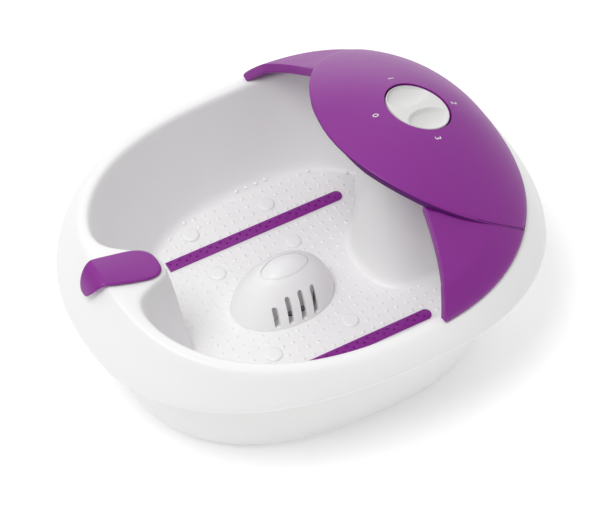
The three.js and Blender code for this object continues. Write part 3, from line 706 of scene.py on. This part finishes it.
def hump():
    """The arch's shell, with four slots in each side and an oval opening for the window."""
    centre = hump_centre()
    outside = smooth_rows(np.array(hump_rings(0, centre)), 1.6, 12)
    inside = smooth_rows(np.array(hump_rings(HUMP_WALL, centre))[1:], 3, 8)[::-1]
    grid = np.concatenate([outside, inside])
    faces = grid_faces(len(grid), grid.shape[1], close_rows=True)
    shell = mesh_object("massage_hump_shell", grid.reshape(-1, 3), faces)
    for k, top in enumerate(SLOT_TOPS):
        for side in (1, -1):
            cut(shell, slot_cutter(side, centre + SLOT_FIRST_Y + SLOT_PITCH * k, top))
    cut(shell, oval_cutter(centre - 1))
    return shell


def hump_centre():
    return box_mm("massage_hump")[1][1] - HUMP_TOE


def slot_cutter(side, y, top):
    """An upright slot with round ends that runs in from the side."""
    half, low, high = 2.3, FLOOR_Z + 2.6, FLOOR_Z + top
    arc = np.linspace(0, np.pi, 9)
    outline = [(y + half * math.cos(a), high - half + half * math.sin(a)) for a in arc]
    outline += [(y - half * math.cos(a), low + half - half * math.sin(a)) for a in arc]
    inner, outer = ([(side * x, v, z) for v, z in outline] for x in (13.5, 40))
    return mesh_object("cutter", *prism(inner, outer))


def slot_backs():
    """Upright webs inside the hump, which close the slots at the back."""
    centre = hump_centre()
    outline = [(-27, 0.8), (-27, 20), (-15, 29), (0, 31), (10, 30.5), (16, 28.5), (16, 0.8)]
    webs = []
    for side in (1, -1):
        webs.append(prism(*([(side * x, centre + y, FLOOR_Z + z) for y, z in outline] for x in (17.2, 18.2))))
    return mesh_object("massage_hump_webs", *merged(webs))


def oval_cutter(centre):
    """An upright bar a little larger than the window."""
    half, length = LENS_HALF + 0.2, LENS_LENGTH + 0.2
    low, high = (ring(half, length, length, FLOOR_Z + rise, centre=centre, curve=2.0, count=96)
                 for rise in (20, 60))
    return mesh_object("cutter", *prism(low, high))


def hump_height(x, y):
    """The hump's own surface over a plan point."""
    away = y - hump_centre()
    low, high = np.zeros_like(x), np.full_like(x, len(HUMP_ROWS) - 1.0)
    steps = np.arange(len(HUMP_ROWS))
    for _ in range(30):
        t = (low + high) / 2
        half, heel, toe = (np.maximum(np.interp(t, steps, HUMP_ROWS[:, k]), 1e-6) for k in range(3))
        length = np.where(away < 0, heel, toe)
        inside = (np.abs(x) / half) ** HUMP_CURVE + (np.abs(away) / length) ** HUMP_CURVE < 1
        low, high = np.where(inside, t, low), np.where(inside, high, t)
    return HUMP_FOOT_Z + np.interp(low, steps, HUMP_ROWS[:, 3])


def lens():
    """The oval window that closes the hump's top, with a rounded edge."""
    centre = hump_centre() - 1
    angle = np.linspace(0, 2 * np.pi, 96, endpoint=False)
    rows = []
    for inset, drop in ((0.0, 4.0), (0.0, 0.7), (0.12, 0.35), (0.4, 0.1), (0.9, -0.1)):
        rows.append(oval_row(angle, centre, LENS_HALF - inset, LENS_LENGTH - inset, drop))
    for share in np.linspace(0.9, 0, 14):
        half, length = (LENS_HALF - 0.9) * share, (LENS_LENGTH - 0.9) * share
        rows.append(oval_row(angle, centre, half, length, -0.1 - 0.5 * (1 - share ** 2)))
    rows.append(oval_row(angle, centre, 0, 0, 4.0))
    grid = np.array(rows)
    return grid.reshape(-1, 3), grid_faces(len(grid), 96, close_rows=True)


def oval_row(angle, centre, half, length, drop):
    """An oval that follows the hump's surface."""
    x, y = half * np.cos(angle), centre + length * np.sin(angle)
    return np.stack([x, y, hump_height(x, y) - drop], axis=1)


def strip(node):
    """A raised bar, square at the heel end and round at the toe end, with two staggered rows of air holes."""
    low, high = box_mm(node)
    half, middle = (high[0] - low[0]) / 2, (high[0] + low[0]) / 2

    def outline(inset, z):
        h = half - inset
        arc = [(h * math.cos(a), high[1] - half + h * math.sin(a)) for a in np.linspace(0, math.pi, 25)]
        return [(middle + x, y, z) for x, y in [(-h, low[1] + inset), (h, low[1] + inset), *arc]]

    top = high[2]
    levels = ((0, low[2]), (0, top - 0.5), (0.15, top - 0.15), (0.5, top))
    rows = np.array([outline(inset, z) for inset, z in levels])
    count = rows.shape[1]
    faces = grid_faces(len(levels), count) + [tuple(range(count)), tuple(range(3 * count, 4 * count))]
    bar = mesh_object(node + "_bar", rows.reshape(-1, 3), faces)
    holes = []
    length = high[1] - half - low[1]
    for k in range(AIR_HOLES):
        y = low[1] + length * (k + 0.6) / AIR_HOLES
        x = middle + (1.6 if k % 2 else -1.6)
        points, sides = turned([(0, -1.2), (0.95, -1.2), (0.95, 1.0), (0, 1.0)], count=12)
        holes.append((points + [x, y, top], sides))
    cut(bar, mesh_object("cutter", *merged(holes)))
    return bar


def cap(node):
    """A low round disc with a soft edge."""
    low, high = box_mm(node)
    radius = (high[0] - low[0]) / 2
    rise = 0.62 * (high[2] - low[2])
    outline = [(0, 0), (radius, 0), (radius, rise * 0.2), (radius - 0.35, rise * 0.55),
               (radius - 1.0, rise * 0.85), (radius - 1.9, rise * 0.98), (radius - 2.8, rise), (0, rise)]
    points, faces = turned(outline, count=64)
    foot = [(low[0] + high[0]) / 2, (low[1] + high[1]) / 2, low[2]]
    return mesh_object(node + "_disc", points + foot, faces, sharp=60)


def spout_z(x, y):
    """The crest along the tongue, and past its fold the rounded way down to the band's edge."""
    out = np.clip((SPOUT_FOLD_Y - y) / 22, 0, 1)
    share = np.sqrt(1 - out ** 2)
    outside = band_z(x, y) + (rim_z(x, SPOUT_FOLD_Y) - band_z(x, y)) * share
    return np.where(y > SPOUT_FOLD_Y, rim_z(x, y), outside)


def pad():
    """The purple pad that lies along the tongue and folds over the band."""
    low, high = box_mm("spout_pad")
    middle, length = (low[1] + high[1]) / 2, (high[1] - low[1]) / 2
    angle = np.linspace(0, 2 * np.pi, 160, endpoint=False)
    c, s = np.cos(angle), np.sin(angle)
    rows = []
    profile = [(1 - 0.022 * k, 3.4) for k in range(45, 3, -1)]  # share of the plan, height over the rim
    profile += [(0.93, 3.35), (0.965, 3.15), (0.985, 2.85), (1, 2.3)]
    profile += [(share, 1.9) for share in (1, 0.9, 0.6, 0.3, 0.0)]
    for share, rise in profile:
        along = np.sign(s) * np.abs(s) ** 0.55 * share
        across = np.sign(c) * np.abs(c) ** 0.75 * share
        x, y = across * (16.0 + 1.8 * along), middle + length * along
        rows.append(np.stack([x, y, spout_z(x, y) + rise], axis=1))
    grid = np.array(rows)
    grid[0] = grid[0].mean(axis=0)
    return grid.reshape(-1, 3), grid_faces(len(grid), len(angle))


# ---- materials ----
ROUGHNESS_SPREAD = 0.03
TONE_SPREAD = 0.015


def node_material(name, colour, roughness, metallic=0.0, bump=0.0, scale=900.0, coat=0.0, subsurface=0.0,
                  gloss=0.5):
    """A procedural finish: a base colour and roughness that vary a little, and a fine surface grain."""
    material = bpy.data.materials.new(name)
    material.use_nodes = True
    nodes, links = material.node_tree.nodes, material.node_tree.links
    shader = nodes["Principled BSDF"]
    shader.inputs["Metallic"].default_value = metallic
    shader.inputs["Specular IOR Level"].default_value = gloss
    shader.inputs["Subsurface Weight"].default_value = subsurface
    shader.inputs["Subsurface Radius"].default_value = (0.004, 0.004, 0.004)
    shader.inputs["Coat Weight"].default_value = coat
    shader.inputs["Coat Roughness"].default_value = 0.25
    where = nodes.new("ShaderNodeTexCoord")
    noise = nodes.new("ShaderNodeTexNoise")
    noise.inputs["Scale"].default_value = scale
    noise.inputs["Detail"].default_value = 3
    links.new(where.outputs["Object"], noise.inputs["Vector"])
    cloud = nodes.new("ShaderNodeTexNoise")
    cloud.inputs["Scale"].default_value = 14.0
    cloud.inputs["Detail"].default_value = 2
    links.new(where.outputs["Object"], cloud.inputs["Vector"])
    spread = nodes.new("ShaderNodeMapRange")
    spread.inputs["To Min"].default_value = roughness - ROUGHNESS_SPREAD
    spread.inputs["To Max"].default_value = roughness + ROUGHNESS_SPREAD
    links.new(cloud.outputs["Fac"], spread.inputs["Value"])
    links.new(spread.outputs["Result"], shader.inputs["Roughness"])
    tone = nodes.new("ShaderNodeMix")
    tone.data_type = "RGBA"
    tone.inputs["A"].default_value = (*[c * (1 - TONE_SPREAD) for c in colour], 1)
    tone.inputs["B"].default_value = (*[c * (1 + TONE_SPREAD) for c in colour], 1)
    links.new(cloud.outputs["Fac"], tone.inputs["Factor"])
    links.new(tone.outputs["Result"], shader.inputs["Base Color"])
    if bump:
        relief = nodes.new("ShaderNodeBump")
        relief.inputs["Strength"].default_value = bump
        relief.inputs["Distance"].default_value = 0.0001
        links.new(noise.outputs["Fac"], relief.inputs["Height"])
        links.new(relief.outputs["Normal"], shader.inputs["Normal"])
    return material


def paint(thing, material):
    thing.data.materials.clear()
    thing.data.materials.append(material)


MATERIALS = {
    "white_plastic": node_material("white_plastic", (0.942, 0.942, 0.938), 0.4, bump=0.08),
    "purple_plastic": node_material("purple_plastic", (0.252, 0.017, 0.28), 0.4, bump=0.1, gloss=0.46),
    "lens_plastic": node_material("lens_plastic", (0.94, 0.94, 0.94), 0.34, subsurface=0.2),
    "rubber": node_material("rubber", (0.03, 0.03, 0.03), 0.75, bump=0.4, scale=500),
    "grey_plastic": node_material("grey_plastic", (0.25, 0.26, 0.27), 0.5, bump=0.2),
    "circuit_board": node_material("circuit_board", (0.03, 0.14, 0.05), 0.4, bump=0.15),
    "lamp_glass": node_material("lamp_glass", (0.45, 0.02, 0.015), 0.12, coat=0.5),
    "steel": node_material("steel", (0.56, 0.57, 0.58), 0.32, metallic=1.0, bump=0.15, scale=1500),
    "brass": node_material("brass", (0.68, 0.48, 0.19), 0.34, metallic=1.0, bump=0.15, scale=1500),
}
# painted shade: a darker purple that stands for the shade on the panel's hanging hem
PAINTED_SHADE_PURPLE = node_material("purple_painted_shade", (0.1, 0.005, 0.14), 0.5, bump=0.1, gloss=0.2)
# a white darker than the tub's white plastic, used on the knob
KNOB_DARKER_WHITE = node_material("dial_darker_white", (0.74, 0.735, 0.73), 0.36, bump=0.08)
INK = node_material("printed_white", (0.86, 0.84, 0.87), 0.5)
CAPS = sorted(name for name in frame["nodes"] if name.startswith("magnet_cap_"))


# ---- pieces ----
def place(thing, body, slot, node):
    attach(thing, body)
    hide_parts(node)
    paint(thing, MATERIALS[slot])


def build_pieces():
    shell = mesh_object("tub_moulding", *merged([loft(tub_rings()), column(), nodules()]), sharp=50)
    place(shell, "basin", "white_plastic", "tub")
    casing = mesh_object("lower_casing", *loft(base_rings()))
    place(casing, "basin", "white_plastic", "base_shell")
    panel = mesh_object("cover_top_panel", *panel_shell(), sharp=50)
    cut(panel, dial_cutter(DIAL_HOLE))
    place(panel, "splash_cover", "purple_plastic", "cover_panel")
    # the hem gets its painted shade
    paint_shade_on_hem(panel)
    collar = mesh_object("dial_collar", *dial_collar())
    place(collar, "splash_cover", "purple_plastic", "cover_panel")
    across = mesh_object("wing_cross_piece", *cross_piece())
    cut(across, dial_cutter(DIAL_HOLE + 3))
    place(across, "splash_cover", "purple_plastic", "cover_frame")
    for side, word in ((1, "right"), (-1, "left")):
        one = mesh_object("cover_wing_" + word, *wing(side), sharp=50)
        place(one, "splash_cover", "purple_plastic", "cover_frame")
    handle = mesh_object("dial_knob", *knob(), sharp=60)
    place(handle, "dial", "white_plastic", "control_knob")
    paint(handle, KNOB_DARKER_WHITE)
    arch = hump()
    place(arch, "basin", "white_plastic", "massage_hump")
    place(slot_backs(), "basin", "white_plastic", "massage_hump")
    window = mesh_object("lamp_lens", *lens(), sharp=60)
    place(window, "basin", "lens_plastic", "lamp_window")
    flap = mesh_object("spout_pad_moulding", *pad(), sharp=60)
    place(flap, "basin", "purple_plastic", "spout_pad")
    for node in ("bubble_strip_left", "bubble_strip_right"):
        place(strip(node), "basin", "purple_plastic", node)
    for node in CAPS:
        place(cap(node), "basin", "white_plastic", node)


def build_digits():
    """Plain digits at the dial's four settings."""
    for text, x, y in (("0", 0, -40), ("1", -37, -4), ("2", 0, 34), ("3", 37, -4)):
        digit = digit_mark(text, DIAL_POINT[0] + x, DIAL_POINT[1] + y)
        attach(digit, "splash_cover")
        paint(digit, INK)


def finish_frame_nodes():
    """Gives each of the frame's own nodes the finish of its slot."""
    slots = {row["node"]: row["material_slot"] for row in frame["record"]["subparts"]}
    for name, thing in frame["nodes"].items():
        paint(thing, MATERIALS[slots[name]])


# ---- studio ----
def floor():
    """A wide white floor that glows a little, as a lit table does."""
    mesh = bpy.data.meshes.new("studio_floor")
    mesh.from_pydata([(-9, -9, 0), (9, -9, 0), (9, 9, 0), (-9, 9, 0)], [], [(0, 1, 2, 3)])
    thing = bpy.data.objects.new("studio_floor", mesh)
    bpy.context.collection.objects.link(thing)
    white = node_material("floor_paint", (0.94, 0.94, 0.94), 0.9, gloss=0.1)
    shader = white.node_tree.nodes["Principled BSDF"]
    shader.inputs["Emission Color"].default_value = (1, 1, 1, 1)
    shader.inputs["Emission Strength"].default_value = 0.2
    paint(thing, white)


def area_light(name, place_at, target, size, power):
    light = bpy.data.lights.new(name, "AREA")
    light.shape = "DISK"
    light.size = size
    light.energy = power
    thing = bpy.data.objects.new(name, light)
    thing.location = place_at
    aim = Vector(target) - Vector(place_at)
    thing.rotation_euler = aim.to_track_quat("-Z", "Y").to_euler()
    bpy.context.collection.objects.link(thing)


def sky():
    """A white studio that is brightest overhead and at the back."""
    world = bpy.data.worlds.new("studio")
    bpy.context.scene.world = world
    world.use_nodes = True
    nodes, links = world.node_tree.nodes, world.node_tree.links
    where = nodes.new("ShaderNodeTexCoord")
    toward = nodes.new("ShaderNodeVectorMath")
    toward.operation = "DOT_PRODUCT"
    toward.inputs[1].default_value = (-0.55, 0.31, 0.78)
    spread = nodes.new("ShaderNodeMapRange")
    spread.inputs["From Min"].default_value = -0.6
    spread.inputs["To Min"].default_value = 0.16
    spread.inputs["To Max"].default_value = 0.8
    links.new(where.outputs["Generated"], toward.inputs[0])
    links.new(toward.outputs["Value"], spread.inputs["Value"])
    background = nodes["Background"]
    background.inputs["Color"].default_value = (1, 1, 1, 1)
    links.new(spread.outputs["Result"], background.inputs["Strength"])


def studio():
    sky()
    area_light("back", (-1.7, 0.95, 0.65), (0, 0, 0.1), size=1.6, power=5.5)
    area_light("key", (0.35, -0.85, 2.2), (0, 0, 0.05), size=1.0, power=22)
    bpy.context.scene.view_settings.view_transform = "Standard"


CAMERA_TARGET = Vector((-0.0223, 0.0122, 0.0327))
CAMERA_DISTANCE = 2.173
CAMERA_AZIMUTH = math.radians(60.69)
CAMERA_ELEVATION = math.radians(50.85)
CAMERA_LENS = 154.6  # mm, on a sensor 36 mm wide


def camera():
    data = bpy.data.cameras.new("camera")
    data.sensor_width = 36
    data.lens = CAMERA_LENS
    data.clip_end = 50
    thing = bpy.data.objects.new("camera", data)
    bpy.context.collection.objects.link(thing)
    level = math.cos(CAMERA_ELEVATION)
    back = Vector((math.sin(CAMERA_AZIMUTH) * level, -math.cos(CAMERA_AZIMUTH) * level,
                   math.sin(CAMERA_ELEVATION)))
    thing.location = CAMERA_TARGET + back * CAMERA_DISTANCE
    thing.rotation_euler = (-back).to_track_quat("-Z", "Y").to_euler()
    bpy.context.scene.camera = thing


build_pieces()
build_digits()
finish_frame_nodes()
floor()
studio()
camera()
bpy.context.view_layer.update()
